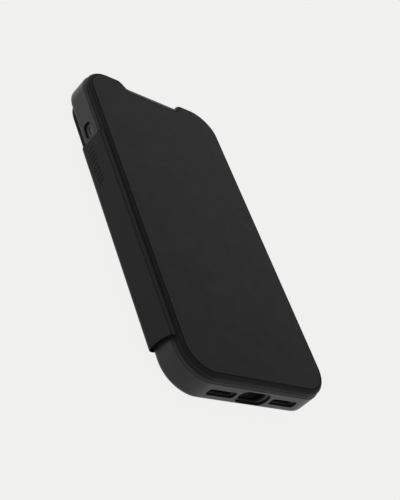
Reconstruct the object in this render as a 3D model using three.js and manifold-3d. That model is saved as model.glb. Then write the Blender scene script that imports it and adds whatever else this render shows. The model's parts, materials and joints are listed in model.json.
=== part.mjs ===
// A folio wallet case for a slab phone: a hard shell with a soft bumper inside it, and a folio of
// rear panel, spine and front cover that wraps round the shell's left edge and closes over the screen.
// Millimetres. The case lies on its back: +X to the right, +Y to the phone's top, +Z out of the screen.
// The origin is the middle of the rear panel's outer face.
import * as THREE from "three";
import { mergeVertices } from "three/addons/utils/BufferGeometryUtils.js";
import Module from "manifold-3d";

const wasm = await Module();
wasm.setup();

// ---------------------------------------------------------------- driving dimensions
// the phone that the case is made for
const phoneLength = 146.7;
const phoneWidth = 71.5;
const phoneThickness = 7.8;
const phoneCorner = 11.4;
const phoneGap = 0.25; // free space round the phone

// clearances
const seam = 0.1; // between pieces that nest sideways
const layerGap = 0.03; // between sheets that lie on each other
const coverGap = 0.1; // between the bumper's lip and the closed cover
const footGap = 0.05; // between a button's foot and the phone's space
const spineGap = 0.2; // between the shell's wall and the spine

// shell, bumper and linings
const shellWall = 0.95;
const shellFloor = 1;
const shellEdgeRadius = 2;
const bumperSide = 0.85;
const bumperEnd = 1.35;
const liningThickness = 0.3;
const liningInset = 0.9; // of the tray's lining from the phone's space
const shellRise = 0.6; // how far the shell's wall stands above the phone's face
const lipHeight = 1.5; // of the bumper's lip above the shell's wall
const lipTaper = 2.4; // how far the lip leans in from the shell's side to its top
const lipCover = 1.25; // how far the lip reaches over the phone's face
const lipStep = 0.1; // of the lip's foot from the shell's side
const innerChamfer = { shell: 0.5, bumper: 0.6 }; // at the foot of the tray's walls

// folio
const panelThickness = 0.4;
const filmThickness = 0.1;
// the rear panel's distances from the shell's outline
const panelInset = { left: 0.15, right: 2.4, top: 2.4, bottom: 7 };
const filmInset = 3; // of the film from the panel's edges
const filmFromGuard = 1;
const panelCorner = 18;
const skinThickness = 0.5;
const boardThickness = 0.85;
const rimWidth = 1.1; // of the cover skin's turned edge, round the board
const coverThickness = 2;
const coverInset = 0.55; // of the cover from the shell's outline
const spineThickness = 1.9;
const spineLiningThickness = 0.4;
const spineFoldRadius = 2.4; // outer radius of the fold at the rear
const foldWidth = 3.4; // of the soft strip between the rear panel and the spine
const hingeSkin = 0.5;
const frontFoldDrop = 0.5; // of the front fold below the cover's face
const frontFoldRadius = 0.9;
const spineFromTop = 39; // the spine's ends, measured from the case's ends
const spineFromBottom = 16.2;

// earpiece notch in the cover's top edge
const notchDepth = 4.9;
const notchFromSide = 17; // from the phone's side to the notch
const notchSlope = 7; // the width of each sloping end

// card pocket on the inside of the cover
const cardWidth = 54;
const cardLength = 85.6;
const cardRoom = 0.9; // the slot's height
const cardFreedom = 1.5; // the slot is this much wider than a card, each side
const pocketSeam = 3;
const pocketPanel = 0.45;
const cardShowing = 7; // of the card above the pocket's mouth
const thumbRadius = 9;
const pocketCorner = 4;

// openings and buttons, on the phone's sides, measured from the phone's top edge and back
const sideControlHeight = 3.8; // of every side control above the phone's back
const muteFromTop = 29.4;
const muteSize = [8, 4.4];
const muteSlot = [4.6, 1.3]; // through the bumper's pad, inside the shell's opening
const mutePadBack = 0.35; // of the pad below the shell's side
const volumeFromTop = [43.6, 56.2];
const volumeSlot = [10.6, 3.2];
const powerFromTop = 44.5;
const powerSlot = [18, 3.4];
const buttonFree = 0.25; // between a button and its slot
const buttonTravel = 0.5;
const powerStandsProud = 0.7;
const volumeSinks = 0.05; // of the volume buttons below the shell's side
const footSize = [0.55, 0.6]; // a button's foot, as shares of its length and height
const portShell = { width: 15.6, height: 7.1, corner: 3.2 };
const portBumper = { width: 12.6, height: 6, corner: 2.9 };
const speakerShell = { width: 13.7, height: 3.5, corner: 1.2 };
const speakerBumper = { width: 12.1, height: 2.6, corner: 0.9 };
const speakerOffset = 16.2;
const portHeight = 3.8; // of the bottom openings' middle above the phone's back

// camera window, seen from the rear it is at the top left
const cameraSize = [31, 33];
const cameraCorner = 8;
const cameraFromSide = 4.6; // from the phone's edge to the window
const cameraFromTop = 4.6;
const guardWidth = 1.6;
const guardGap = 0.1; // between the guard and the shell's window
const liningFromWindow = 0.8;

// closure magnets
const magnetLength = 14;
const magnetPitch = 62; // between the upper and the lower one
const coverMagnet = [5, 0.8];
const keeperMagnet = [1.2, 0.8];
const magnetCorner = 0.2;
const magnetFromEdge = 1; // of a cover magnet from the board's edge
const keeperWall = 0.4; // between a keeper magnet and the opening over the screen

// curve resolution
const cornerSteps = 6; // half the number of flats round a quarter turn
const slotSteps = 4;

// ---------------------------------------------------------------- derived sizes
const cavityWidth = phoneWidth + 2 * phoneGap;
const cavityLength = phoneLength + 2 * phoneGap;
const bumperWidth = cavityWidth + 2 * bumperSide;
const bumperLength = cavityLength + 2 * bumperEnd;
const shellInnerWidth = bumperWidth + 2 * seam;
const shellInnerLength = bumperLength + 2 * seam;
const caseWidth = shellInnerWidth + 2 * shellWall;
const caseLength = shellInnerLength + 2 * shellWall;
const cavityCorner = phoneCorner + phoneGap;
const caseCorner = cavityCorner + bumperSide + seam + shellWall;

const shellBack = panelThickness + filmThickness + 2 * layerGap;
const shellInside = shellBack + shellFloor;
const phoneBack = shellInside + liningThickness + 2 * layerGap;
const phoneFace = phoneBack + phoneThickness;
const shellTop = phoneFace + shellRise;
const lipTop = shellTop + lipHeight;

// the card pocket lies over the screen; where the lip leaves it no room, the cover rests on it
const slotWidth = cardWidth + 2 * cardFreedom;
const pocketWidth = slotWidth + 2 * pocketSeam;
const pocketDepth = cardRoom + pocketPanel + layerGap;
const screenWidth = phoneWidth - 2 * lipCover;
const pocketSinks = pocketWidth + 2 * seam < screenWidth;
const coverBack = lipTop + coverGap + (pocketSinks ? 0 : pocketDepth);
const coverFace = coverBack + coverThickness;

const coverWidth = caseWidth - 2 * coverInset;
const coverLength = caseLength - 2 * coverInset;
const coverCorner = caseCorner - coverInset;
const spineInner = -caseWidth / 2 - spineGap;
const spineOuter = spineInner - spineThickness;
const foldEdge = spineOuter + foldWidth;
const spineTop = caseLength / 2 - spineFromTop;
const spineBottom = -caseLength / 2 + spineFromBottom;
const spineLength = spineTop - spineBottom;
const spineMiddle = (spineTop + spineBottom) / 2;
const spineFoot = spineFoldRadius + layerGap;
const spineHead = coverBack - spineGap;
const controlHeight = phoneBack + sideControlHeight;
const phoneTop = phoneLength / 2;
const notchTopHalf = phoneWidth / 2 - notchFromSide;
const notchFootHalf = notchTopHalf - notchSlope;

// ---------------------------------------------------------------- shapes
function roundedRectangle(width, length, radius, x = 0, y = 0) {
  const r = Math.min(radius, width / 2 - 0.01, length / 2 - 0.01);
  const [right, top] = [width / 2 - r, length / 2 - r];
  const shape = new THREE.Shape();
  shape.absarc(x + right, y + top, r, 0, Math.PI / 2);
  shape.absarc(x - right, y + top, r, Math.PI / 2, Math.PI);
  shape.absarc(x - right, y - top, r, Math.PI, 1.5 * Math.PI);
  shape.absarc(x + right, y - top, r, 1.5 * Math.PI, 2 * Math.PI);
  shape.closePath();
  return shape;
}

function extrude(shape, low, high, curveSegments = cornerSteps) {
  const options = { depth: high - low, bevelEnabled: false, curveSegments };
  return solidOf(new THREE.ExtrudeGeometry(shape, options).translate(0, 0, low));
}

// A prism whose section is drawn in X and Z and runs along Y.
function extrudeAlongY(shape, from, to, curveSegments = slotSteps) {
  const options = { depth: to - from, bevelEnabled: false, curveSegments };
  const geometry = new THREE.ExtrudeGeometry(shape, options);
  return solidOf(geometry.rotateX(Math.PI / 2).translate(0, to, 0));
}

// A prism whose section is drawn in Y and Z and runs along X.
function extrudeAlongX(shape, from, to, curveSegments = slotSteps) {
  const options = { depth: to - from, bevelEnabled: false, curveSegments };
  const geometry = new THREE.ExtrudeGeometry(shape, options);
  return solidOf(geometry.rotateX(Math.PI / 2).rotateZ(Math.PI / 2).translate(from, 0, 0));
}

// Rings of one rounded rectangle, each set in by `inset` at height `z`, joined into a solid.
function loft(width, length, radius, levels) {
  const rings = levels.map(({ inset, z }) => {
    const outline = roundedRectangle(width - 2 * inset, length - 2 * inset, radius - inset);
    const corner = 2 * cornerSteps + 1;
    return outline.getPoints(cornerSteps).slice(0, 4 * corner).map((p) => [p.x, p.y, z]);
  });
  const count = rings[0].length;
  const positions = rings.flat(2);
  const faces = [];
  rings.slice(1).forEach((_, level) => {
    for (let i = 0; i < count; i++) {
      const [a, b] = [level * count + i, level * count + ((i + 1) % count)];
      faces.push(a, b, b + count, a, b + count, a + count);
    }
  });
  const last = (rings.length - 1) * count;
  for (let i = 1; i < count - 1; i++) {
    faces.push(0, i + 1, i);
    faces.push(last, last + i, last + i + 1);
  }
  const geometry = new THREE.BufferGeometry();
  geometry.setAttribute("position", new THREE.Float32BufferAttribute(positions, 3));
  geometry.setIndex(faces);
  return solidOf(geometry);
}

// ---------------------------------------------------------------- solids
function solidOf(geometry) {
  const bare = geometry.clone();
  for (const name of ["normal", "uv"]) bare.deleteAttribute(name);
  const merged = mergeVertices(bare, 1e-4);
  const mesh = new wasm.Mesh({
    numProp: 3,
    vertProperties: merged.attributes.position.array,
    triVerts: new Uint32Array(merged.index.array),
  });
  return new wasm.Manifold(mesh);
}

function cut(solid, ...tools) {
  return tools.reduce((left, tool) => left.subtract(tool), solid);
}

function join(...pieces) {
  return pieces.reduce((whole, piece) => whole.add(piece));
}

function geometryOf(solid) {
  const { vertProperties, triVerts } = solid.getMesh();
  const geometry = new THREE.BufferGeometry();
  geometry.setAttribute("position", new THREE.BufferAttribute(vertProperties, 3));
  geometry.setIndex(new THREE.BufferAttribute(triVerts, 1));
  geometry.computeVertexNormals();
  return geometry;
}

// ---------------------------------------------------------------- openings
const fromTop = (distance) => phoneTop - distance;
const cutReach = { side: 4, bottom: 5, past: 1 }; // how far a cut goes in, and past the case

// A slot through a side wall; sign is -1 on the left and 1 on the right.
function sideSlot([length, height], y, sign) {
  const shape = roundedRectangle(length, height, height / 2, y, controlHeight);
  const [near, far] = [caseWidth / 2 - cutReach.side, caseWidth / 2 + cutReach.past];
  return sign > 0 ? extrudeAlongX(shape, near, far) : extrudeAlongX(shape, -far, -near);
}

function bottomSlot({ width, height, corner }, x) {
  const shape = roundedRectangle(width, height, corner, x, phoneBack + portHeight);
  return extrudeAlongY(shape, -caseLength / 2 - cutReach.past, -caseLength / 2 + cutReach.bottom);
}

const cameraMiddle = [
  phoneWidth / 2 - cameraFromSide - cameraSize[0] / 2,
  phoneTop - cameraFromTop - cameraSize[1] / 2,
];

function cameraWindow(grow, low, high) {
  const [width, length] = cameraSize.map((size) => size + 2 * grow);
  return extrude(roundedRectangle(width, length, cameraCorner + grow, ...cameraMiddle), low, high);
}

const footSlot = ([length, height]) => [
  length * footSize[0] + 2 * buttonFree,
  height * footSize[1] + 2 * buttonFree,
];

// ---------------------------------------------------------------- case
function hardShell() {
  const turns = [0, 0.2, 0.45, 0.75, 1];
  const rounding = turns.map((share) => {
    const turn = (share * Math.PI) / 2;
    return {
      inset: shellEdgeRadius * (1 - Math.sin(turn)),
      z: shellBack + shellEdgeRadius * (1 - Math.cos(turn)),
    };
  });
  const outside = loft(caseWidth, caseLength, caseCorner, [...rounding, { inset: 0, z: shellTop }]);
  const inside = loft(shellInnerWidth, shellInnerLength, caseCorner - shellWall, [
    { inset: innerChamfer.shell, z: shellInside },
    { inset: 0, z: shellInside + innerChamfer.shell },
    { inset: 0, z: shellTop + 1 },
  ]);
  return cut(
    outside,
    inside,
    cameraWindow(0, -1, phoneFace),
    sideSlot(muteSize, fromTop(muteFromTop), -1),
    ...volumeFromTop.map((y) => sideSlot(volumeSlot, fromTop(y), -1)),
    sideSlot(powerSlot, fromTop(powerFromTop), 1),
    bottomSlot(portShell, 0),
    bottomSlot(speakerShell, -speakerOffset),
    bottomSlot(speakerShell, speakerOffset),
  );
}

const keeperX = screenWidth / 2 + keeperWall + keeperMagnet[0] / 2;
const keeperBase = shellTop + seam;
const magnetYs = { upper: magnetPitch / 2, lower: -magnetPitch / 2 };

function keeperMagnetAt(y, grow = 0) {
  const [width, length] = [keeperMagnet[0] + grow, magnetLength + grow];
  const shape = roundedRectangle(width, length, magnetCorner, keeperX, y);
  return extrude(shape, keeperBase - (grow ? 1 : 0), keeperBase + keeperMagnet[1] + grow, 2);
}

// The pad in the shell's mute opening, through which the phone's switch is reached.
function mutePad() {
  const [length, height] = muteSize.map((size) => size - 2 * buttonFree);
  const shape = roundedRectangle(length, height, height / 2, fromTop(muteFromTop), controlHeight);
  return extrudeAlongX(shape, -caseWidth / 2 + mutePadBack, -cavityWidth / 2 - seam);
}

// The lip's profile: how far it has leaned in, and risen, as shares of its taper and height.
const lipProfile = [
  [0.26, 0.35],
  [0.6, 0.72],
  [1, 1],
];

function bumper() {
  const walls = loft(bumperWidth, bumperLength, caseCorner - shellWall - seam, [
    { inset: innerChamfer.bumper, z: shellInside + layerGap },
    { inset: 0, z: shellInside + layerGap + innerChamfer.bumper },
    { inset: 0, z: shellTop + 2 * seam },
  ]);
  const lip = loft(caseWidth, caseLength, caseCorner, [
    { inset: lipStep, z: shellTop + seam },
    ...lipProfile.map(([lean, rise]) => ({ inset: lean * lipTaper, z: shellTop + rise * lipHeight })),
  ]);
  const cavity = loft(cavityWidth, cavityLength, cavityCorner, [
    { inset: 0, z: -1 },
    { inset: 0, z: phoneFace + layerGap },
  ]);
  const screen = loft(phoneWidth - 2 * lipCover, phoneLength - 2 * lipCover, phoneCorner - lipCover, [
    { inset: 0, z: phoneFace - 1 },
    { inset: 0, z: lipTop + 1 },
  ]);
  return cut(
    join(walls, lip, mutePad()),
    cavity,
    screen,
    sideSlot(muteSlot, fromTop(muteFromTop), -1),
    ...volumeFromTop.map((y) => sideSlot(footSlot(volumeSlot), fromTop(y), -1)),
    sideSlot(footSlot(powerSlot), fromTop(powerFromTop), 1),
    bottomSlot(portBumper, 0),
    bottomSlot(speakerBumper, -speakerOffset),
    bottomSlot(speakerBumper, speakerOffset),
    ...Object.values(magnetYs).map((y) => keeperMagnetAt(y, seam)),
  );
}

function backLining() {
  const [width, length] = [cavityWidth - 2 * liningInset, cavityLength - 2 * liningInset];
  const low = shellInside + layerGap;
  const outline = roundedRectangle(width, length, cavityCorner - liningInset);
  const sheet = extrude(outline, low, low + liningThickness);
  return cut(sheet, cameraWindow(liningFromWindow, -1, phoneFace));
}

// A stadium cap in the shell's slot, with a narrow foot that goes through the bumper to the phone.
function button([length, height], y, sign, capOut) {
  const capIn = bumperWidth / 2 + buttonTravel + seam / 2;
  const footIn = cavityWidth / 2 + footGap;
  const [capLength, capHeight] = [length - 2 * buttonFree, height - 2 * buttonFree];
  const cap = roundedRectangle(capLength, capHeight, capHeight / 2, y, controlHeight);
  const [footLength, footHeight] = [length * footSize[0], height * footSize[1]];
  const foot = roundedRectangle(footLength, footHeight, footHeight / 2, y, controlHeight);
  const span = (a, b) => (sign > 0 ? [a, b] : [-b, -a]);
  return join(
    extrudeAlongX(cap, ...span(capIn, capOut)),
    extrudeAlongX(foot, ...span(footIn, capIn + 0.1)),
  );
}

const powerButton = () =>
  button(powerSlot, fromTop(powerFromTop), 1, caseWidth / 2 + powerStandsProud);

const volumeButton = (index) =>
  button(volumeSlot, fromTop(volumeFromTop[index]), -1, caseWidth / 2 - volumeSinks);

// ---------------------------------------------------------------- folio, fixed part
function panelOutline(shrink = 0) {
  const left = -caseWidth / 2 + panelInset.left + shrink;
  const right = caseWidth / 2 - panelInset.right - shrink;
  const low = -caseLength / 2 + panelInset.bottom + shrink;
  const high = caseLength / 2 - panelInset.top - shrink;
  const middle = [(left + right) / 2, (low + high) / 2];
  return roundedRectangle(right - left, high - low, panelCorner - shrink, ...middle);
}

function rearPanel() {
  const reach = foldEdge - spineOuter + 2 * seam;
  const [length, middle] = [spineLength + 2 * seam, foldEdge - reach / 2];
  const foldRoom = roundedRectangle(reach, length, seam / 2, middle, spineMiddle);
  return cut(
    extrude(panelOutline(), 0, panelThickness),
    cameraWindow(guardWidth + seam, -1, 1),
    extrude(foldRoom, -1, 1, 2),
  );
}

function bondingFilm() {
  const low = panelThickness + layerGap;
  const sheet = extrude(panelOutline(filmInset), low, low + filmThickness);
  return cut(sheet, cameraWindow(guardWidth + filmFromGuard, -1, 1));
}

function cameraGuard() {
  const low = 0;
  const high = shellBack - layerGap;
  return cut(cameraWindow(guardWidth, low, high), cameraWindow(guardGap, low - 1, high + 1));
}

// The fold at the rear: a soft strip from the rear panel's edge, curving up to the spine's foot.
function rearHinge() {
  const centre = [spineOuter + spineFoldRadius, spineFoldRadius];
  const shape = new THREE.Shape();
  shape.absarc(...centre, spineFoldRadius, Math.PI, 1.5 * Math.PI);
  shape.lineTo(foldEdge - layerGap, 0);
  shape.lineTo(foldEdge - layerGap, panelThickness);
  shape.absarc(...centre, spineFoldRadius - panelThickness, 1.5 * Math.PI, Math.PI, true);
  shape.closePath();
  return extrudeAlongY(shape, spineBottom, spineTop, cornerSteps);
}

// ---------------------------------------------------------------- spine
function yzBox(yLow, yHigh, zLow, zHigh) {
  return roundedRectangle(yHigh - yLow, zHigh - zLow, 0.05, (yLow + yHigh) / 2, (zLow + zHigh) / 2);
}

function spineSkin() {
  const outer = yzBox(spineBottom, spineTop, spineFoot, spineHead);
  const edge = skinThickness;
  const inner = yzBox(spineBottom + edge, spineTop - edge, spineFoot + edge, spineHead - edge);
  return cut(
    extrudeAlongX(outer, spineOuter, spineInner, 2),
    extrudeAlongX(inner, spineOuter + skinThickness, spineInner + 1, 2),
  );
}

// A sheet that fills the spine skin's tray between two depths.
function spineFilling(from, to) {
  const edge = skinThickness + seam;
  const shape = yzBox(spineBottom + edge, spineTop - edge, spineFoot + edge, spineHead - edge);
  return extrudeAlongX(shape, from, to, 2);
}

const spineLiningFrom = spineInner - spineLiningThickness;

const spineBoard = () =>
  spineFilling(spineOuter + skinThickness + layerGap, spineLiningFrom - layerGap);

const spineLining = () => spineFilling(spineLiningFrom, spineInner);

// The fold at the front: up from the spine's head and over to the cover's left edge.
function frontHinge() {
  const base = spineHead + layerGap;
  const top = coverFace - frontFoldDrop;
  const coverEdge = -coverWidth / 2 - layerGap;
  const centre = [spineOuter + frontFoldRadius, top - frontFoldRadius];
  const shape = new THREE.Shape();
  shape.moveTo(spineOuter, base);
  shape.absarc(...centre, frontFoldRadius, Math.PI, Math.PI / 2, true);
  shape.lineTo(coverEdge, top);
  shape.lineTo(coverEdge, top - hingeSkin);
  shape.absarc(...centre, frontFoldRadius - hingeSkin, Math.PI / 2, Math.PI);
  shape.lineTo(spineOuter + hingeSkin, base);
  shape.closePath();
  return extrudeAlongY(shape, spineBottom, spineTop, cornerSteps);
}

// ---------------------------------------------------------------- cover
// The cover's outline, set in by `inset`, with the earpiece notch in its top edge.
function coverOutline(inset = 0) {
  const r = coverCorner - inset;
  const [right, top] = [coverWidth / 2 - inset - r, coverLength / 2 - inset - r];
  const [high, floor] = [top + r, top + r - notchDepth];
  const [foot, head] = [notchFootHalf + inset, notchTopHalf + inset];
  const pull = 0.5 * (head - foot);
  const shape = new THREE.Shape();
  shape.absarc(right, top, r, 0, Math.PI / 2);
  shape.lineTo(head, high);
  shape.bezierCurveTo(head - pull, high, foot + pull, floor, foot, floor);
  shape.lineTo(-foot, floor);
  shape.bezierCurveTo(-foot - pull, floor, -head + pull, high, -head, high);
  shape.absarc(-right, top, r, Math.PI / 2, Math.PI);
  shape.absarc(-right, -top, r, Math.PI, 1.5 * Math.PI);
  shape.absarc(right, -top, r, 1.5 * Math.PI, 2 * Math.PI);
  shape.closePath();
  return shape;
}

const boardBase = coverFace - skinThickness - layerGap - boardThickness;

function coverSkin() {
  return cut(
    extrude(coverOutline(), coverBack, coverFace),
    extrude(coverOutline(rimWidth), coverBack - 1, coverFace - skinThickness),
  );
}

const coverMagnetX = coverWidth / 2 - rimWidth - seam - magnetFromEdge - coverMagnet[0] / 2;

function coverMagnetAt(y, grow = 0) {
  const [width, length] = [coverMagnet[0] + grow, magnetLength + grow];
  const shape = roundedRectangle(width, length, magnetCorner, coverMagnetX, y);
  const low = boardBase - (grow ? 1 : 0);
  return extrude(shape, low, low + coverMagnet[1] + (grow ? 5 : 0), 2);
}

function coverBoard() {
  const holes = Object.values(magnetYs).map((y) => coverMagnetAt(y, 2 * seam));
  return cut(extrude(coverOutline(rimWidth + seam), boardBase, boardBase + boardThickness), ...holes);
}

function coverLining() {
  return extrude(coverOutline(rimWidth + seam), coverBack, boardBase - layerGap);
}

// A pocket for one card: a panel welded to the lining along both sides and the bottom.
function cardPocket() {
  const slotLength = cardLength - cardShowing;
  const length = slotLength + pocketSeam;
  const high = coverBack - layerGap;
  const low = high - cardRoom - pocketPanel;
  const mouth = length / 2;
  const past = thumbRadius; // how far the room's cut goes past the mouth
  const middle = (pocketSeam + past) / 2;
  const room = roundedRectangle(slotWidth, slotLength + past, seam, 0, middle);
  const thumb = new THREE.Shape().absarc(0, mouth, thumbRadius, 0, 2 * Math.PI);
  return cut(
    extrude(roundedRectangle(pocketWidth, length, pocketCorner), low, high),
    extrude(room, low + pocketPanel, high + 1, 2),
    extrude(thumb, low - 1, high + 1, 2 * cornerSteps),
  );
}

// ---------------------------------------------------------------- the assembly
const finishes = {
  shell: { color: 0x3a3a3a, roughness: 0.45, metalness: 0 },
  bumper: { color: 0x2c2c2c, roughness: 0.6, metalness: 0 },
  folio: { color: 0x2b2b2b, roughness: 0.55, metalness: 0 },
  lining: { color: 0x303032, roughness: 0.95, metalness: 0 },
  board: { color: 0x4a4540, roughness: 0.8, metalness: 0 },
  film: { color: 0x9a9a94, roughness: 0.5, metalness: 0 },
  magnet: { color: 0xa8a8ac, roughness: 0.3, metalness: 1 },
};

const pieces = [
  ["hard_shell", "shell", hardShell()],
  ["bumper", "bumper", bumper()],
  ["back_lining", "lining", backLining()],
  ["keeper_magnet_upper", "magnet", keeperMagnetAt(magnetYs.upper)],
  ["keeper_magnet_lower", "magnet", keeperMagnetAt(magnetYs.lower)],
  ["power_button", "bumper", powerButton()],
  ["volume_up_button", "bumper", volumeButton(0)],
  ["volume_down_button", "bumper", volumeButton(1)],
  ["camera_guard", "bumper", cameraGuard()],
  ["bonding_film", "film", bondingFilm()],
  ["rear_panel", "folio", rearPanel()],
  ["rear_hinge", "folio", rearHinge()],
  ["spine_skin", "folio", spineSkin()],
  ["spine_board", "board", spineBoard()],
  ["spine_lining", "lining", spineLining()],
  ["front_hinge", "folio", frontHinge()],
  ["cover_skin", "folio", coverSkin()],
  ["cover_board", "board", coverBoard()],
  ["cover_lining", "lining", coverLining()],
  ["cover_magnet_upper", "magnet", coverMagnetAt(magnetYs.upper)],
  ["cover_magnet_lower", "magnet", coverMagnetAt(magnetYs.lower)],
  ["card_pocket", "folio", cardPocket()],
];

const phoneCase = new THREE.Group();
for (const [name, finish, solid] of pieces) {
  const mesh = new THREE.Mesh(geometryOf(solid), new THREE.MeshStandardMaterial(finishes[finish]));
  mesh.name = name;
  phoneCase.add(mesh);
}

export default phoneCase;
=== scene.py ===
"""A black folio case for a phone, closed: the looks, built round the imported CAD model.

The case lies on its rear panel: +X to the right, +Y to the phone's top end, +Z out of the front cover.
Lengths in the constants are millimetres; every mesh is made in metres in the CAD model's frame.
"""

import json
import math

import bmesh
import bpy
from mathutils import Matrix, Vector


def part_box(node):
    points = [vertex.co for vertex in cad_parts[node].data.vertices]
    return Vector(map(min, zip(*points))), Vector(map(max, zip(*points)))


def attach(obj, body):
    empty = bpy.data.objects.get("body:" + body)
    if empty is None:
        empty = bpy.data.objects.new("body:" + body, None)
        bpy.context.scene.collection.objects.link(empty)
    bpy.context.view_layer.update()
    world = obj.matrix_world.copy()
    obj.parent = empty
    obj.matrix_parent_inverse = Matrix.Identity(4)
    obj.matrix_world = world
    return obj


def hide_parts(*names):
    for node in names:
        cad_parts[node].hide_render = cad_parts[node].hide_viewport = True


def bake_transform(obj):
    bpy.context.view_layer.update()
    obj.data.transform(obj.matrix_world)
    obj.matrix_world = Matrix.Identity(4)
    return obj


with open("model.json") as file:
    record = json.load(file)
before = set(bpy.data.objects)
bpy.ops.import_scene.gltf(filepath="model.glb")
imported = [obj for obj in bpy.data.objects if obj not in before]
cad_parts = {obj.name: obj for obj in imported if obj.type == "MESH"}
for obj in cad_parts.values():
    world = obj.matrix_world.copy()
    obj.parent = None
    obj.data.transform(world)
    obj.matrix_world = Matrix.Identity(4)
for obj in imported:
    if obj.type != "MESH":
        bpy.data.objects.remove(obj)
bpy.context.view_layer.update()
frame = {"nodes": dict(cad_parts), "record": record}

MM = 0.001

# ---------------------------------------------------------------- detail sizes, in millimetres
ARC_STEPS = 20  # flats in a quarter turn of an outline
ROUND_STEPS = 6  # flats in a quarter turn of an edge's rounding

SHELL_CORNER = 13.45
SHELL_WALL = 0.95
SHELL_REAR_ROUNDING = 2.0
SHELL_RIM_ROUNDING = 0.22
SLOT_ROUNDING = 0.32
COVER_FRONT_ROUNDING = 1.7
COVER_REAR_ROUNDING = 0.15
COVER_RIM = 1.1
SKIN = 0.5
SEAM = 0.1
LAYER_GAP = 0.03
PHONE_GAP = 0.25
SHELL_RISE = 0.6  # how far the shell's wall stands above the phone's face
BUMPER_SIDE = 0.85
BUMPER_EDGE = 0.12
LIP_COVER = 1.25  # how far the lip reaches over the phone's face
LIP_STEP = 0.1  # of the lip's foot from the shell's side
LIP_TAPER = 2.25
LIP_STEPS = 9

NOTCH_DEPTH = 4.9
NOTCH_FOOT_HALF = 11.75
NOTCH_TOP_HALF = 18.75

# openings in the side walls: middle and size along the wall, then middle and size in height
CONTROL_HEIGHT = 5.72
MUTE = {"at": 43.95, "length": 8.0, "height": 4.4}
INNER_MUTE = {"length": 4.6, "height": 1.3}
MUTE_PAD = {"length": 7.5, "height": 3.9}
MUTE_PAD_BACK = 0.2  # of the pad below the shell's side
MUTE_PAD_DEPTH = 1.2
MUTE_PAD_EDGE = 0.3
VOLUME = {"length": 10.6, "height": 3.2}
POWER = {"length": 18.0, "height": 3.4}
FOOT_SHARE = (0.55, 0.6)  # a button's foot, as shares of its slot's length and height
BUTTON_FREE = 0.5  # how much smaller a button is than its slot
PORT = {"length": 15.6, "height": 7.1, "corner": 3.2}
SPEAKER = {"length": 13.7, "height": 3.5, "corner": 1.2}
SPEAKER_OFFSET = 16.2
INNER_PORT = {"length": 12.6, "height": 6.0, "corner": 2.9}
INNER_SPEAKER = {"length": 12.1, "height": 2.6, "corner": 0.9}

CAMERA_CORNER = 8.0
GUARD_WIDTH = 1.6

POCKET_SEAM = 3
POCKET_PANEL = 0.45
THUMB_RADIUS = 9

MARK_BARS = 9
MARK_FROM, MARK_TO = 14.5, 33.5  # along the spine
MARK_HEIGHT = 2.9
MARK_MIDDLE = 5.45
MARK_DEPTH = 0.14
MARK_BAR = 1.15
MARK_LEAN = 0.9
PANEL_CORNER = 18
FOLD_ROOM = 8  # the width of the cut that clears the rear fold
PANEL_SKIVE = 0.8  # the width over which the rear sheet's edge is thinned
FOLD_RADIUS = 0.8
FOLD_DROP = 0.75  # of the front fold's crest below the cover's face
FOLD_FALL = 0.3  # from the crest's far side down to the cover's edge
FOLD_OVERLAP = 0.15  # of the front fold into the cover's edge
SPINE_ARCH = 1.3  # how far the spine's lower end is shorter at the rear than at the front
SPINE_UNDERCUT = {"ends": 0.3, "middle": 1.8, "top": 0.8}
SPINE_HOLLOW_FROM, SPINE_HOLLOW_TO = 3.2, 1.3  # from the spine's lower and upper end
SPINE_END_ROUNDING = 0.25
SPINE_STEPS = 12  # levels in the spine's arched end


def mm_box(node):
    """A CAD node's lowest and highest corner in millimetres."""
    low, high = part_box(node)
    return low / MM, high / MM


SHELL_LOW, SHELL_HIGH = mm_box("hard_shell")
BUMPER_LOW, BUMPER_HIGH = mm_box("bumper")
COVER_LOW, COVER_HIGH = mm_box("cover_skin")
SPINE_LOW, SPINE_HIGH = mm_box("spine_skin")
LINING_LOW, LINING_HIGH = mm_box("back_lining")
POCKET_LOW, POCKET_HIGH = mm_box("card_pocket")
PANEL_LOW, PANEL_HIGH = mm_box("rear_panel")
GUARD_LOW, GUARD_HIGH = mm_box("camera_guard")

CASE_WIDTH = SHELL_HIGH.x - SHELL_LOW.x
CASE_LENGTH = SHELL_HIGH.y - SHELL_LOW.y
SHELL_FLOOR = LINING_LOW.z


# ---------------------------------------------------------------- outlines
def arc(centre, radius, start, stop, steps=ARC_STEPS):
    """Points on an arc, with angles in degrees."""
    angles = [math.radians(start + (stop - start) * i / steps) for i in range(steps + 1)]
    return [(centre[0] + radius * math.cos(a), centre[1] + radius * math.sin(a)) for a in angles]


def rounded_rectangle(width, length, corner, middle=(0, 0), steps=ARC_STEPS):
    """Anticlockwise points of a rectangle with round corners."""
    corner = min(corner, width / 2 - 1e-3, length / 2 - 1e-3)
    right, top = width / 2 - corner, length / 2 - corner
    x, y = middle
    return (
        arc((x + right, y + top), corner, 0, 90, steps)
        + arc((x - right, y + top), corner, 90, 180, steps)
        + arc((x - right, y - top), corner, 180, 270, steps)
        + arc((x + right, y - top), corner, 270, 360, steps)
    )


def s_curve(start, stop, steps=ARC_STEPS):
    """Points between two levels, level with both at its ends."""
    pull = 0.5 * (stop[0] - start[0])
    handles = [start, (start[0] + pull, start[1]), (stop[0] - pull, stop[1]), stop]
    points = []
    for i in range(1, steps):
        t = i / steps
        weights = [(1 - t) ** 3, 3 * t * (1 - t) ** 2, 3 * t * t * (1 - t), t**3]
        points.append(tuple(sum(w * h[k] for w, h in zip(weights, handles)) for k in (0, 1)))
    return [start, *points, stop]


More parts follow.
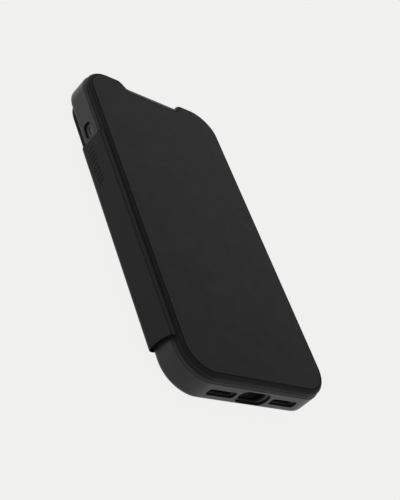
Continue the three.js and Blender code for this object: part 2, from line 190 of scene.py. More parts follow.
def cover_outline():
    """The front cover's outline with the earpiece notch in its top edge, anticlockwise."""
    half_width, half_length = COVER_HIGH.x, COVER_HIGH.y
    corner = SHELL_CORNER - (SHELL_HIGH.x - COVER_HIGH.x)
    right, top = half_width - corner, half_length - corner
    floor = half_length - NOTCH_DEPTH
    return (
        arc((right, top), corner, 0, 90)
        + s_curve((NOTCH_TOP_HALF, half_length), (NOTCH_FOOT_HALF, floor))
        + s_curve((-NOTCH_FOOT_HALF, floor), (-NOTCH_TOP_HALF, half_length))
        + arc((-right, top), corner, 90, 180)
        + arc((-right, -top), corner, 180, 270)
        + arc((right, -top), corner, 270, 360)
    )


def set_in(outline, distance):
    """The outline moved inward along its own normals."""
    points = []
    count = len(outline)
    for i, (x, y) in enumerate(outline):
        before, after = Vector(outline[i - 1]), Vector(outline[(i + 1) % count])
        first = (Vector((x, y)) - before).normalized()
        second = (after - Vector((x, y))).normalized()
        along = (first + second).normalized()
        stretch = max(0.5, along.dot(first))
        points.append((x - along.y * distance / stretch, y + along.x * distance / stretch))
    return points


# ---------------------------------------------------------------- profiles: (inset, height) pairs
def rounding(radius, corner_inset, corner_z, rising, outward, steps=ROUND_STEPS):
    """A quarter round at an edge. rising says that it climbs; outward that it moves to less inset."""
    pairs = []
    for i in range(steps + 1):
        turn = math.pi / 2 * i / steps
        inset = radius * (1 - math.sin(turn)) if outward else radius * (1 - math.cos(turn))
        height = radius * (1 - math.cos(turn)) if outward else radius * math.sin(turn)
        climb = height if outward else height - radius
        pairs.append((corner_inset + inset, corner_z + (climb if rising else -climb)))
    return pairs


# ---------------------------------------------------------------- meshes
def new_object(name, mesh_builder):
    mesh = bpy.data.meshes.new(name)
    mesh_builder.to_mesh(mesh)
    mesh_builder.free()
    piece = bpy.data.objects.new(name, mesh)
    bpy.context.scene.collection.objects.link(piece)
    return piece


def ring_stack(name, outline, profile, ring=False):
    """A solid whose outline is set in by each profile pair's inset at that pair's height.

    With ring, the profile closes on itself and the solid is a frame; otherwise its ends are capped.
    """
    builder = bmesh.new()
    rings = []
    for inset, z in profile:
        points = set_in(outline, inset) if inset else outline
        rings.append([builder.verts.new((x * MM, y * MM, z * MM)) for x, y in points])
    count = len(outline)
    pairs = list(zip(rings, rings[1:] + rings[:1])) if ring else list(zip(rings, rings[1:]))
    for lower, upper in pairs:
        for i in range(count):
            j = (i + 1) % count
            builder.faces.new((lower[i], lower[j], upper[j], upper[i]))
    if not ring:
        builder.faces.new(list(reversed(rings[0])))
        builder.faces.new(rings[-1])
    bmesh.ops.remove_doubles(builder, verts=builder.verts, dist=1e-7)
    bmesh.ops.recalc_face_normals(builder, faces=builder.faces)
    return new_object(name, builder)


def slab(name, outline, low, high, edge):
    """A flat sheet with rounded edges."""
    profile = rounding(edge, 0, low, True, True, 3) + rounding(edge, 0, high, True, False, 3)
    return ring_stack(name, outline, profile)


def prism(name, outline, low, high):
    return ring_stack(name, outline, [(0, low), (0, high)])


def turned(piece, matrix):
    piece.data.transform(matrix)
    return piece


# outlines drawn in X and Y become sections across a side wall
ALONG_X = Matrix(((0, 0, 1, 0), (1, 0, 0, 0), (0, 1, 0, 0), (0, 0, 0, 1)))
ALONG_Y = Matrix(((1, 0, 0, 0), (0, 0, 1, 0), (0, 1, 0, 0), (0, 0, 0, 1)))


def side_cutter(size, y, sign, depth=3.0):
    """A stadium plug through a side wall."""
    wall = CASE_WIDTH / 2
    outline = rounded_rectangle(size["length"], size["height"], size["height"] / 2, (y, CONTROL_HEIGHT))
    span = (wall - depth, wall + 1) if sign > 0 else (-wall - 1, -wall + depth)
    return turned(prism("cutter", outline, *span), ALONG_X)


def bottom_cutter(size, x, depth=4.0):
    outline = rounded_rectangle(size["length"], size["height"], size["corner"], (x, CONTROL_HEIGHT))
    plug = turned(prism("cutter", outline, -CASE_LENGTH / 2 - 1, -CASE_LENGTH / 2 + depth), ALONG_Y)
    plug.data.flip_normals()
    return plug


def cut(piece, cutters):
    """Cuts each cutter out of the piece, and removes the cutters."""
    for cutter in cutters:
        modifier = piece.modifiers.new("cut", "BOOLEAN")
        modifier.operation = "DIFFERENCE"
        modifier.solver = "EXACT"
        modifier.object = cutter
    apply_modifiers(piece)
    for cutter in cutters:
        bpy.data.objects.remove(cutter)
    return piece


def joined(piece, other):
    """Joins the other solid to the piece, and removes it."""
    modifier = piece.modifiers.new("join", "BOOLEAN")
    modifier.operation = "UNION"
    modifier.solver = "EXACT"
    modifier.object = other
    apply_modifiers(piece)
    bpy.data.objects.remove(other)
    return piece


def apply_modifiers(piece):
    graph = bpy.context.evaluated_depsgraph_get()
    mesh = bpy.data.meshes.new_from_object(piece.evaluated_get(graph))
    piece.modifiers.clear()
    piece.data = mesh
    return piece


def soften(piece, width, segments=3, angle=35):
    """Rounds the piece's sharp edges and gives it smooth, area-weighted shading."""
    bevel = piece.modifiers.new("edges", "BEVEL")
    bevel.width = width * MM
    bevel.segments = segments
    bevel.limit_method = "ANGLE"
    bevel.angle_limit = math.radians(angle)
    bevel.use_clamp_overlap = True
    bevel.harden_normals = False
    apply_modifiers(piece)
    return smooth(piece)


def smooth(piece, angle=50):
    for polygon in piece.data.polygons:
        polygon.use_smooth = True
    piece.data.set_sharp_from_angle(angle=math.radians(angle))
    weighted = piece.modifiers.new("normals", "WEIGHTED_NORMAL")
    weighted.keep_sharp = True
    return piece


# ---------------------------------------------------------------- materials
def material(name, color, roughness, build=None, **inputs):
    """A Principled material; build adds the nodes that vary it."""
    made = bpy.data.materials.new(name)
    made.use_nodes = True
    shader = made.node_tree.nodes["Principled BSDF"]
    shader.inputs["Base Color"].default_value = (*color, 1)
    shader.inputs["Roughness"].default_value = roughness
    for key, value in inputs.items():
        shader.inputs[key.replace("_", " ")].default_value = value
    if build:
        build(made.node_tree, shader)
    return made


def coordinates(tree, scale):
    """Object coordinates scaled so that one unit is `scale` millimetres."""
    source = tree.nodes.new("ShaderNodeTexCoord")
    mapping = tree.nodes.new("ShaderNodeMapping")
    mapping.inputs["Scale"].default_value = (1 / (scale * MM),) * 3
    tree.links.new(source.outputs["Object"], mapping.inputs["Vector"])
    return mapping.outputs["Vector"]


def noise(tree, scale, detail=3.0, rough=0.55):
    texture = tree.nodes.new("ShaderNodeTexNoise")
    texture.inputs["Scale"].default_value = 1
    texture.inputs["Detail"].default_value = detail
    texture.inputs["Roughness"].default_value = rough
    tree.links.new(coordinates(tree, scale), texture.inputs["Vector"])
    return texture.outputs["Fac"]


def cells(tree, scale, feature="SMOOTH_F1"):
    texture = tree.nodes.new("ShaderNodeTexVoronoi")
    texture.feature = feature
    texture.inputs["Scale"].default_value = 1
    tree.links.new(coordinates(tree, scale), texture.inputs["Vector"])
    return texture.outputs["Distance"]


def spread(tree, value, low, high):
    """Maps a 0 to 1 value to a range."""
    node = tree.nodes.new("ShaderNodeMapRange")
    node.inputs["From Min"].default_value = 0.3
    node.inputs["From Max"].default_value = 0.7
    node.inputs["To Min"].default_value = low
    node.inputs["To Max"].default_value = high
    tree.links.new(value, node.inputs["Value"])
    return node.outputs["Result"]


def bump(tree, shader, layers):
    """Chains bumps of (height socket, depth in millimetres) onto the shader."""
    normal = None
    for height, depth in layers:
        node = tree.nodes.new("ShaderNodeBump")
        node.inputs["Strength"].default_value = 1.0
        node.inputs["Distance"].default_value = depth * MM
        tree.links.new(height, node.inputs["Height"])
        if normal:
            tree.links.new(normal, node.inputs["Normal"])
        normal = node.outputs["Normal"]
    tree.links.new(normal, shader.inputs["Normal"])


def tint(tree, shader, value, dark, light):
    """Varies the base colour between two greys."""
    mix = tree.nodes.new("ShaderNodeMix")
    mix.data_type = "RGBA"
    mix.inputs["A"].default_value = (*dark, 1)
    mix.inputs["B"].default_value = (*light, 1)
    tree.links.new(value, mix.inputs["Factor"])
    tree.links.new(mix.outputs["Result"], shader.inputs["Base Color"])


def moulded(tree, shader):
    """Fine spark-eroded texture of a moulded plastic."""
    tree.links.new(spread(tree, noise(tree, 9.0), 0.35, 0.41), shader.inputs["Roughness"])
    tint(tree, shader, noise(tree, 14.0), (0.0085,) * 3, (0.0105,) * 3)
    bump(tree, shader, [(noise(tree, 0.22, 2.0), 0.006), (cells(tree, 0.16), 0.004)])


def rubbery(tree, shader):
    tree.links.new(spread(tree, noise(tree, 7.0), 0.46, 0.54), shader.inputs["Roughness"])
    tint(tree, shader, noise(tree, 11.0), (0.027,) * 3, (0.031,) * 3)
    bump(tree, shader, [(noise(tree, 0.12, 2.0), 0.004)])


def grained(tree, shader):
    """Smooth coated leather: very fine cells over a soft unevenness."""
    tree.links.new(spread(tree, noise(tree, 6.0), 0.47, 0.53), shader.inputs["Roughness"])
    tint(tree, shader, noise(tree, 25.0), (0.0136,) * 3, (0.0145,) * 3)
    bump(tree, shader, leather_relief(tree))


def leather_relief(tree):
    return [(noise(tree, 18.0, 1.0), 0.0012), (cells(tree, 0.45), 0.008), (noise(tree, 0.15, 2.0), 0.003)]


def fold_painted_highlight(tree, shader):
    """The same leather painted a little paler: a painted highlight along the front fold's bend."""
    tree.links.new(spread(tree, noise(tree, 6.0), 0.47, 0.53), shader.inputs["Roughness"])
    tint(tree, shader, noise(tree, 25.0), (0.0165,) * 3, (0.0175,) * 3)
    bump(tree, shader, leather_relief(tree))


def sheet_painted_lighter(tree, shader):
    """The rear sheet's slightly shiny coating, painted a pale grey: painted light in the shaded strip
    under the shell's rear rounding.
    """
    tree.links.new(spread(tree, noise(tree, 6.0), 0.37, 0.43), shader.inputs["Roughness"])
    tint(tree, shader, noise(tree, 25.0), (0.085,) * 3, (0.095,) * 3)
    bump(tree, shader, leather_relief(tree))


def napped(tree, shader):
    """Short microfibre."""
    tint(tree, shader, noise(tree, 5.0, 6.0), (0.022, 0.022, 0.024), (0.036, 0.036, 0.039))
    bump(tree, shader, [(noise(tree, 0.25, 5.0, 0.7), 0.05), (noise(tree, 0.08, 2.0), 0.02)])


def fibrous(tree, shader):
    tint(tree, shader, noise(tree, 1.2, 6.0), (0.055, 0.05, 0.045), (0.09, 0.082, 0.074))
    bump(tree, shader, [(noise(tree, 0.4, 4.0), 0.02)])


def plated(tree, shader):
    tree.links.new(spread(tree, noise(tree, 1.5), 0.24, 0.36), shader.inputs["Roughness"])
    bump(tree, shader, [(noise(tree, 0.3, 2.0), 0.002)])


def filmy(tree, shader):
    tint(tree, shader, noise(tree, 4.0), (0.28, 0.28, 0.26), (0.36, 0.36, 0.34))


MATERIALS = {
    "shell": material("soft_touch_shell", (0.0095,) * 3, 0.38, moulded, Specular_IOR_Level=0.35),
    "bumper": material("matt_elastomer", (0.029,) * 3, 0.5, rubbery, Specular_IOR_Level=0.7),
    "folio": material("coated_leather", (0.0143,) * 3, 0.5, grained, Specular_IOR_Level=0.1),
    # the rear sheet's pale grey is painted light for the shaded strip under the shell's rear edge
    "sheet": material("rear_sheet_painted_lighter", (0.09,) * 3, 0.4, sheet_painted_lighter, Specular_IOR_Level=0.5),
    # the fold's paler leather is a painted highlight on the spine's front edge
    "fold": material("leather_painted_highlight", (0.017,) * 3, 0.5, fold_painted_highlight, Specular_IOR_Level=0.1),
    "lining": material("microfibre", (0.03,) * 3, 0.95, napped, Sheen_Weight=0.35, Sheen_Roughness=0.5),
    "board": material("stiffener_board", (0.07, 0.065, 0.06), 0.85, fibrous),
    "film": material("bonding_film", (0.32, 0.32, 0.3), 0.5, filmy),
    "magnet": material("plated_magnet", (0.45, 0.45, 0.47), 0.3, plated, Metallic=1.0),
}


def finish_piece(piece, slot, body=None, replaced=(), look=None):
    """Gives a new piece the material of its slot or look, puts it under its body and hides the CAD nodes
    it replaces.
    """
    piece.data.materials.clear()
    piece.data.materials.append(MATERIALS[look or slot])
    if body:
        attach(piece, body)
    if replaced:
        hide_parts(*replaced)
    return piece


# ---------------------------------------------------------------- the case's pieces
def camera_outline(grow):
    low, high = GUARD_LOW, GUARD_HIGH
    middle = ((low.x + high.x) / 2, (low.y + high.y) / 2)
    width, length = (high[k] - low[k] - 2 * GUARD_WIDTH + 2 * grow for k in (0, 1))
    return rounded_rectangle(width, length, CAMERA_CORNER + grow, middle)


def camera_cutter(grow, low=-1, high=5):
    return prism("cutter", camera_outline(grow), low, high)


def middle_y(node):
    low, high = mm_box(node)
    return (low.y + high.y) / 2


VOLUME_YS = [middle_y(node) for node in ("volume_up_button", "volume_down_button")]
POWER_Y = middle_y("power_button")


def make_shell():
    outline = rounded_rectangle(CASE_WIDTH, CASE_LENGTH, SHELL_CORNER)
    low, top = SHELL_LOW.z, SHELL_HIGH.z
    profile = (
        rounding(SHELL_REAR_ROUNDING, 0, low, True, True, 8)
        + rounding(SHELL_RIM_ROUNDING, 0, top, True, False)
        + [(SHELL_WALL - 0.12, top), (SHELL_WALL, top - 0.12)]
        + [(SHELL_WALL, SHELL_FLOOR + 0.5)]
        + [(SHELL_WALL + 0.15, SHELL_FLOOR + 0.15), (SHELL_WALL + 0.5, SHELL_FLOOR)]
    )
    shell = ring_stack("shell_tray", outline, profile)
    cutters = [side_cutter(MUTE, MUTE["at"], -1)]
    cutters += [side_cutter(VOLUME, y, -1) for y in VOLUME_YS]
    cutters += [side_cutter(POWER, POWER_Y, 1)]
    cutters += [bottom_cutter(PORT, 0)]
    cutters += [bottom_cutter(SPEAKER, side * SPEAKER_OFFSET) for side in (-1, 1)]
    cutters += [camera_cutter(0)]
    soften(cut(shell, cutters), SLOT_ROUNDING, 4)
    return finish_piece(shell, "shell", "case", ["hard_shell"])


def inner_size(size):
    """The bumper's opening for a button's foot."""
    length, height = size["length"] * FOOT_SHARE[0], size["height"] * FOOT_SHARE[1]
    return {"length": length + BUTTON_FREE, "height": height + BUTTON_FREE}


def lean_share(t):
    """How far the lip has leaned in, as a share of its taper, at a share of its height."""
    return t * (0.7 + 0.3 * t)


def mute_pad():
    """The bumper's pad in the shell's mute opening."""
    face = CASE_WIDTH / 2 - MUTE_PAD_BACK
    length, height = MUTE_PAD["length"], MUTE_PAD["height"]
    outline = rounded_rectangle(length, height, height / 2, (MUTE["at"], CONTROL_HEIGHT))
    profile = [(0, face - MUTE_PAD_DEPTH), *rounding(MUTE_PAD_EDGE, 0, face, True, False)]
    pad = ring_stack("pad", outline, profile)
    turned(pad, ALONG_X)
    turned(pad, Matrix.Scale(-1, 4, (1, 0, 0)))
    pad.data.flip_normals()
    return pad


def make_bumper():
    """The soft ring inside the shell, with a lip that leans in over the phone's edge."""
    outline = rounded_rectangle(CASE_WIDTH, CASE_LENGTH, SHELL_CORNER)
    base, lip, top = SHELL_HIGH.z, SHELL_HIGH.z + SEAM, BUMPER_HIGH.z
    outer = SHELL_WALL + SEAM
    rise = top - lip
    cavity = outer + BUMPER_SIDE
    phone_face = SHELL_HIGH.z - SHELL_RISE + LAYER_GAP
    foot = SHELL_FLOOR + LAYER_GAP
    shares = [i / LIP_STEPS for i in range(LIP_STEPS + 1)]
    lean = [(LIP_STEP + LIP_TAPER * lean_share(share), lip + rise * share) for share in shares]
    screen = cavity + PHONE_GAP + LIP_COVER
    profile = (
        [(outer + 0.6, foot), (outer, SHELL_FLOOR + 0.8), (outer, base + 0.02), (outer - 0.04, lip)]
        + lean
        + [(screen - 0.25, top), (screen - 0.07, top - 0.07), (screen, top - 0.25)]
        + [(screen, phone_face + 0.12), (screen - 0.12, phone_face), (cavity, phone_face)]
        + [(cavity, foot)]
    )
    bumper = ring_stack("bumper_ring", outline, profile, ring=True)
    cutters = [side_cutter(INNER_MUTE, MUTE["at"], -1)]
    cutters += [side_cutter(inner_size(VOLUME), y, -1) for y in VOLUME_YS]
    cutters += [side_cutter(inner_size(POWER), POWER_Y, 1)]
    cutters += [bottom_cutter(INNER_PORT, 0, 5)]
    cutters += [bottom_cutter(INNER_SPEAKER, side * SPEAKER_OFFSET, 5) for side in (-1, 1)]
    pad = cut(mute_pad(), [side_cutter(INNER_MUTE, MUTE["at"], -1)])
    soften(joined(cut(bumper, cutters), pad), BUMPER_EDGE, 2, 45)
    return finish_piece(bumper, "bumper", "case", ["bumper"])


def make_back_lining():
    width, length = LINING_HIGH.x - LINING_LOW.x, LINING_HIGH.y - LINING_LOW.y
    corner = SHELL_CORNER - (CASE_WIDTH - width) / 2
    outline = rounded_rectangle(width, length, corner)
    lining = slab("tray_lining", outline, LINING_LOW.z, LINING_HIGH.z, 0.12)
    smooth(cut(lining, [camera_cutter(0.8)]))
    return finish_piece(lining, "lining", "case", ["back_lining"])


def make_camera_guard():
    low, high = GUARD_LOW.z, GUARD_HIGH.z
    edge = 0.22
    width = GUARD_WIDTH - 0.1
    inner = [(width - inset, z) for inset, z in rounding(edge, 0, high, True, False, 4)]
    profile = (
        rounding(edge, 0, low, True, True, 4)
        + rounding(edge, 0, high, True, False, 4)
        + list(reversed(inner))
        + [(width - inset, z) for inset, z in reversed(rounding(edge, 0, low, True, True, 4))]
    )
    guard = smooth(ring_stack("camera_ring", camera_outline(GUARD_WIDTH), profile, ring=True), 60)
    return finish_piece(guard, "bumper", "case", ["camera_guard"])


def make_rear_panel():
    width = PANEL_HIGH.x - PANEL_LOW.x
    length = PANEL_HIGH.y - PANEL_LOW.y
    middle = [(PANEL_LOW[k] + PANEL_HIGH[k]) / 2 for k in (0, 1)]
    outline = rounded_rectangle(width, length, PANEL_CORNER, middle)
    low, high = PANEL_LOW.z, PANEL_HIGH.z
    profile = [(0.05, low), (0, low + 0.05), (0, low + 0.1), (PANEL_SKIVE, high)]
    panel = ring_stack("rear_skin", outline, profile)
    fold = mm_box("rear_hinge")
    fold_length = fold[1].y - fold[0].y + 2 * SEAM
    fold_middle = (fold[1].x + LAYER_GAP - FOLD_ROOM / 2, (fold[0].y + fold[1].y) / 2)
    room = rounded_rectangle(FOLD_ROOM, fold_length, 0.3, fold_middle, 3)
    smooth(cut(panel, [camera_cutter(GUARD_WIDTH + SEAM), prism("cutter", room, -1, 1)]))
    # the sheet look paints the rear panel pale grey: painted light in the shade under the shell
    return finish_piece(panel, "folio", "case", ["rear_panel"], look="sheet")


def make_button(name, node, size, body):
    """A stadium cap with a rounded face, on a narrow foot."""
    low, high = mm_box(node)
    sign = 1 if high.x > 0 else -1
    y = (low.y + high.y) / 2
    outer = max(abs(low.x), abs(high.x))
    inner = min(abs(low.x), abs(high.x))
    back = (CASE_WIDTH - 2 * (SHELL_WALL + SEAM)) / 2 + 0.55
    length, height = size["length"] - BUTTON_FREE, size["height"] - BUTTON_FREE
    edge = min(0.3, (outer - back) * 0.55)
    cap = ring_stack(
        name,
        rounded_rectangle(length, height, height / 2, (y, CONTROL_HEIGHT)),
        [(0, back)] + rounding(edge, 0, outer - 0.04, True, False) + [(edge + 0.5, outer)],
    )
    foot_length, foot_height = size["length"] * FOOT_SHARE[0], size["height"] * FOOT_SHARE[1]
    outline = rounded_rectangle(foot_length, foot_height, foot_height / 2, (y, CONTROL_HEIGHT))
    foot = prism("foot", outline, inner, back + 0.1)
    turned(joined(cap, foot), ALONG_X)
    if sign < 0:
        turned(cap, Matrix.Scale(-1, 4, (1, 0, 0)))
        cap.data.flip_normals()
    smooth(cap)
    return finish_piece(cap, "bumper", body, [node])


# ---------------------------------------------------------------- the folio's pieces
def cover_edge(high, steps=10):
    """The cover's front edge: a slight crease at the face, then a curve down to the side."""
    radius = COVER_FRONT_ROUNDING
    corners = [(radius - 0.4, high - 0.17), (0.45, high - 0.35), (0, high - 1.5)]
    pairs = [(radius + 0.27, high), (radius + 0.02, high - 0.42), (radius - 0.2, high - 0.44)]
    for i in range(steps + 1):
        t = i / steps
        weights = [(1 - t) ** 2, 2 * t * (1 - t), t * t]
        pairs.append(tuple(sum(w * c[k] for w, c in zip(weights, corners)) for k in (0, 1)))
    return pairs


def make_cover():
    """The cover's skin, turned round its edge, as a tray that opens inward."""
    low, high = COVER_LOW.z, COVER_HIGH.z
    rim = COVER_RIM
    profile = (
        cover_edge(high)
        + list(reversed(rounding(COVER_REAR_ROUNDING, 0, low, True, True, 4)))
        + [(rim - 0.25, low), (rim - 0.07, low + 0.07), (rim, low + 0.25), (rim, high - SKIN)]
    )
    cover = smooth(ring_stack("front_cover", cover_outline(), profile))
    return finish_piece(cover, "folio", "cover", ["cover_skin"])


def make_cover_lining():
    low, high = mm_box("cover_lining")
    sheet = slab("cover_inner_sheet", set_in(cover_outline(), COVER_RIM + SEAM), low.z, high.z, 0.18)
    return finish_piece(smooth(sheet), "lining", "cover", ["cover_lining"])


def make_card_pocket():
    """A panel joined to the lining along three sides, with a thumb notch in its mouth."""
    low, high = POCKET_LOW, POCKET_HIGH
    width, length = high.x - low.x, high.y - low.y
    pocket = slab("card_sleeve", rounded_rectangle(width, length, 4), low.z, high.z, 0.18)
    slot_width = width - 2 * POCKET_SEAM
    room = rounded_rectangle(slot_width, length, 0.5, (0, POCKET_SEAM + 0.5), 4)
    thumb = rounded_rectangle(2 * THUMB_RADIUS, 2 * THUMB_RADIUS, THUMB_RADIUS, (0, high.y))
    cutters = [prism("cutter", room, low.z + POCKET_PANEL, high.z + 1)]
    cutters += [prism("cutter", thumb, low.z - 1, high.z + 1)]
    soften(cut(pocket, cutters), 0.1, 2, 60)
    return finish_piece(pocket, "folio", "cover", ["card_pocket"])


def spine_end(z):
    """How far down the case the spine reaches at a height: less at the rear, in a shallow arch."""
    share = max(0.0, min(1.0, (z - SPINE_LOW.z) / (SPINE_HIGH.z - SPINE_LOW.z)))
    return SPINE_LOW.y + SPINE_ARCH * (1 - share**2)


def spine_undercut(z):
    """How far the spine's lower end leans back on its inner side: most at its middle height."""
    share = (z - SPINE_LOW.z) / (SPINE_HIGH.z - SPINE_LOW.z)
    ends, middle = SPINE_UNDERCUT["ends"], SPINE_UNDERCUT["middle"]
    return ends + (middle - ends) * 4 * share * (1 - share)


def spine_hollow(grow, x_low, x_high):
    """A plug that fills the spine's tray, between two depths."""
    y_low, y_high = SPINE_LOW.y + SPINE_HOLLOW_FROM - grow, SPINE_HIGH.y - SPINE_HOLLOW_TO + grow
    z_low, z_high = SPINE_LOW.z + SKIN - grow, SPINE_HIGH.z - SKIN + grow
    middle = ((y_low + y_high) / 2, (z_low + z_high) / 2)
    outline = rounded_rectangle(y_high - y_low, z_high - z_low, 0.2, middle, 4)
    return turned(prism("cutter", outline, x_low, x_high), ALONG_X)


def make_spine_lining():
    low, high = mm_box("spine_lining")
    sheet = spine_hollow(-SEAM, low.x, high.x)
    sheet.name = "spine_inner_sheet"
    return finish_piece(soften(sheet, 0.1, 2), "lining", "spine", ["spine_lining"])


def make_spine():
    """The spine's skin: a shallow tray, open towards the case, with a mark pressed into its face."""
    low, high = SPINE_LOW, SPINE_HIGH
    builder = bmesh.new()
    heights = [low.z + (high.z - low.z) * i / SPINE_STEPS for i in range(SPINE_STEPS + 1)]
    section = [(low.x, z) for z in heights] + [(high.x, z) for z in reversed(heights)]
    ends = []
    for top in (False, True):
        row = []
        for x, z in section:
            inward = (x - low.x) / (high.x - low.x)
            upper = high.y - SPINE_UNDERCUT["top"] * inward
            lower = spine_end(z) + spine_undercut(z) * inward
            y = upper if top else lower
            row.append(builder.verts.new((x * MM, y * MM, z * MM)))
        ends.append(row)
    count = len(section)
    for i in range(count):
        j = (i + 1) % count
        builder.faces.new((ends[0][i], ends[0][j], ends[1][j], ends[1][i]))
    builder.faces.new(ends[0])
    builder.faces.new(list(reversed(ends[1])))
    bmesh.ops.recalc_face_normals(builder, faces=builder.faces)
    outer = [e for e in builder.edges if all(v.co.x < (low.x + 0.01) * MM for v in e.verts)]
    rims = [e for e in outer if abs(e.verts[0].co.y - e.verts[1].co.y) < (high.y - low.y) * MM / 2]
    bmesh.ops.bevel(
        builder, geom=rims, offset=SPINE_END_ROUNDING * MM, segments=4, affect="EDGES", profile=0.5
    )
    spine = new_object("spine_cover", builder)
    cutters = [spine_hollow(0, low.x + SKIN, high.x + 1)]
    cutters += [mark_cutter(i) for i in range(MARK_BARS)]
    smooth(cut(spine, cutters), 30)
    return finish_piece(spine, "folio", "spine", ["spine_skin", "spine_board"])


def mark_cutter(index):
    """One leaning bar of the plain pressed mark."""
    y = MARK_FROM + (MARK_TO - MARK_FROM) * (index + 0.5) / MARK_BARS
    half, lean = MARK_BAR / 2, MARK_LEAN / 2
    foot, head = MARK_MIDDLE - MARK_HEIGHT / 2, MARK_MIDDLE + MARK_HEIGHT / 2
    outline = [(y - half - lean, foot), (y + half - lean, foot)]
    outline += [(y + half + lean, head), (y - half + lean, head)]
    return turned(prism("cutter", outline, SPINE_LOW.x - 1, SPINE_LOW.x + MARK_DEPTH), ALONG_X)


def make_strip(name, path, thickness, y_low, y_high, steps_along=24):
    """A soft strip along Y whose section follows a path of (x, z) points, thickened to its left side."""
    builder = bmesh.new()
    points = [Vector(p) for p in path]
    normals = []
    for i in range(len(points)):
        before, after = points[max(i - 1, 0)], points[min(i + 1, len(points) - 1)]
        along = (after - before).normalized()
        normals.append(Vector((-along.y, along.x)))
    inner = [p + n * thickness for p, n in zip(points, normals)]
    section = points + list(reversed(inner))
    rows = []
    for k in range(steps_along + 1):
        y = y_low + (y_high - y_low) * k / steps_along
        rows.append([builder.verts.new((p.x * MM, y * MM, p.y * MM)) for p in section])
    count = len(section)
    for low_row, high_row in zip(rows, rows[1:]):
        for i in range(count):
            j = (i + 1) % count
            builder.faces.new((low_row[i], low_row[j], high_row[j], high_row[i]))
    builder.faces.new(rows[0])
    builder.faces.new(list(reversed(rows[-1])))
    bmesh.ops.recalc_face_normals(builder, faces=builder.faces)
    strip = new_object(name, builder)
    return soften(strip, min(0.12, thickness * 0.3), 2, 60)


def make_front_fold():
    """The soft fold from the spine's head over to the cover's edge."""
    low, high = mm_box("front_hinge")
    radius = FOLD_RADIUS
    centre = (low.x + radius, COVER_HIGH.z - FOLD_DROP - radius)
    bend = arc(centre, radius, 180, 60, 14)
    last = (COVER_LOW.x + FOLD_OVERLAP, bend[-1][1] - FOLD_FALL)
    path = [(low.x, low.z), (low.x, (low.z + centre[1]) / 2), *bend]
    path += [tuple(a * (1 - t) + b * t for a, b in zip(bend[-1], last)) for t in (0.3, 0.6, 0.85, 1)]
    strip = make_strip("front_fold", path, -SKIN, low.y, high.y)
    # the fold gets the paler leather: a painted highlight along its bend
    finish_piece(strip, "folio", None, ["front_hinge"], look="fold")
    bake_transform(strip)
    return strip


def make_rear_fold():
    """The soft fold from the rear panel's edge up to the spine's foot."""
    low, high = mm_box("rear_hinge")
    radius = high.z - low.z
    bend = arc((low.x + radius, low.z + radius), radius, 270, 180, 12)
    path = [(high.x * (1 - t) + (low.x + radius) * t, low.z) for t in (0, 0.3, 0.6)] + bend
    thickness = PANEL_HIGH.z - PANEL_LOW.z
    strip = make_strip("rear_fold", path, -thickness, spine_end(SPINE_LOW.z), high.y)
    finish_piece(strip, "folio", None, ["rear_hinge"])
    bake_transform(strip)
    return strip


def finish_inner_nodes():
    """Materials for the CAD nodes that stay as they are, hidden inside the case."""
    slots = {entry["node"]: entry["material_slot"] for entry in frame["record"]["subparts"]}
    for name, node in frame["nodes"].items():
        node.data.materials.clear()
        node.data.materials.append(MATERIALS[slots[name]])


# ---------------------------------------------------------------- stage, light and camera
FLOOR_SIZE = 12.0
TARGET = Vector((5.9, -4.4, 3.74)) * MM
VIEW_AZIMUTH, VIEW_ELEVATION, VIEW_ROLL = -50.61, 28.95, 46.87  # degrees
VIEW_DISTANCE = 392.6 * MM
LENS = 70.33


def make_floor():
    builder = bmesh.new()
    bmesh.ops.create_grid(builder, x_segments=1, y_segments=1, size=FLOOR_SIZE / 2)
    floor = new_object("floor", builder)
    floor.location.z = -0.02 * MM
    made = bpy.data.materials.new("pale_floor")
    made.use_nodes = True
    shader = made.node_tree.nodes["Principled BSDF"]
    shader.inputs["Base Color"].default_value = (0.03, 0.03, 0.0295, 1)
    shader.inputs["Roughness"].default_value = 1.0
    shader.inputs["Specular IOR Level"].default_value = 0.0
    shader.inputs["Emission Color"].default_value = (1.0, 0.998, 0.985, 1)
    shader.inputs["Emission Strength"].default_value = 0.86
    floor.data.materials.append(made)


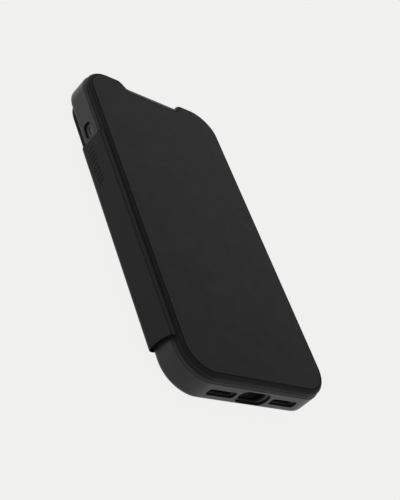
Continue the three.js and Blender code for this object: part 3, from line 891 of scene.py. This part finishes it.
def make_world():
    """Soft studio surroundings: pale near the floor, dimmer overhead."""
    world = bpy.data.worlds.new("studio")
    bpy.context.scene.world = world
    world.use_nodes = True
    tree = world.node_tree
    source = tree.nodes.new("ShaderNodeTexCoord")
    split = tree.nodes.new("ShaderNodeSeparateXYZ")
    ramp = tree.nodes.new("ShaderNodeValToRGB")
    ramp.color_ramp.elements[0].position = 0.0
    ramp.color_ramp.elements[0].color = (0.8, 0.8, 0.79, 1)
    ramp.color_ramp.elements[1].position = 0.45
    ramp.color_ramp.elements[1].color = (0.36, 0.36, 0.36, 1)
    tree.links.new(source.outputs["Generated"], split.inputs["Vector"])
    tree.links.new(split.outputs["Z"], ramp.inputs["Fac"])
    tree.links.new(ramp.outputs["Color"], tree.nodes["Background"].inputs["Color"])
    tree.nodes["Background"].inputs["Strength"].default_value = 1.0


def make_light(name, azimuth, elevation, distance, size, power):
    light = bpy.data.lights.new(name, "AREA")
    light.shape = "DISK"
    light.size = size
    light.energy = power
    lamp = bpy.data.objects.new(name, light)
    bpy.context.scene.collection.objects.link(lamp)
    a, e = math.radians(azimuth), math.radians(elevation)
    back = Vector((math.sin(a) * math.cos(e), -math.cos(a) * math.cos(e), math.sin(e)))
    lamp.location = back * distance
    lamp.rotation_mode = "QUATERNION"
    lamp.rotation_quaternion = back.to_track_quat("Z", "Y")


def make_camera():
    a, e = math.radians(VIEW_AZIMUTH), math.radians(VIEW_ELEVATION)
    back = Vector((math.sin(a) * math.cos(e), -math.cos(a) * math.cos(e), math.sin(e)))
    data = bpy.data.cameras.new("camera")
    data.lens = LENS
    data.clip_start, data.clip_end = 0.01, 50
    camera = bpy.data.objects.new("camera", data)
    bpy.context.scene.collection.objects.link(camera)
    camera.rotation_mode = "QUATERNION"
    level = back.to_track_quat("Z", "Y")
    camera.rotation_quaternion = level @ Matrix.Rotation(math.radians(VIEW_ROLL), 3, "Z").to_quaternion()
    camera.location = TARGET + back * VIEW_DISTANCE
    bpy.context.scene.camera = camera


# ---------------------------------------------------------------- build
make_camera()
finish_inner_nodes()
make_shell()
make_bumper()
make_back_lining()
make_camera_guard()
make_rear_panel()
make_button("power_key_cap", "power_button", POWER, "power_key")
make_button("volume_up_cap", "volume_up_button", VOLUME, "volume_up_key")
make_button("volume_down_cap", "volume_down_button", VOLUME, "volume_down_key")
make_cover()
make_cover_lining()
make_card_pocket()
make_spine()
make_spine_lining()
make_front_fold()
make_rear_fold()
make_floor()
make_world()
make_light("key_light", 135, 52, 1.2, 1.2, 2.5)
bpy.context.scene.view_settings.view_transform = "Standard"
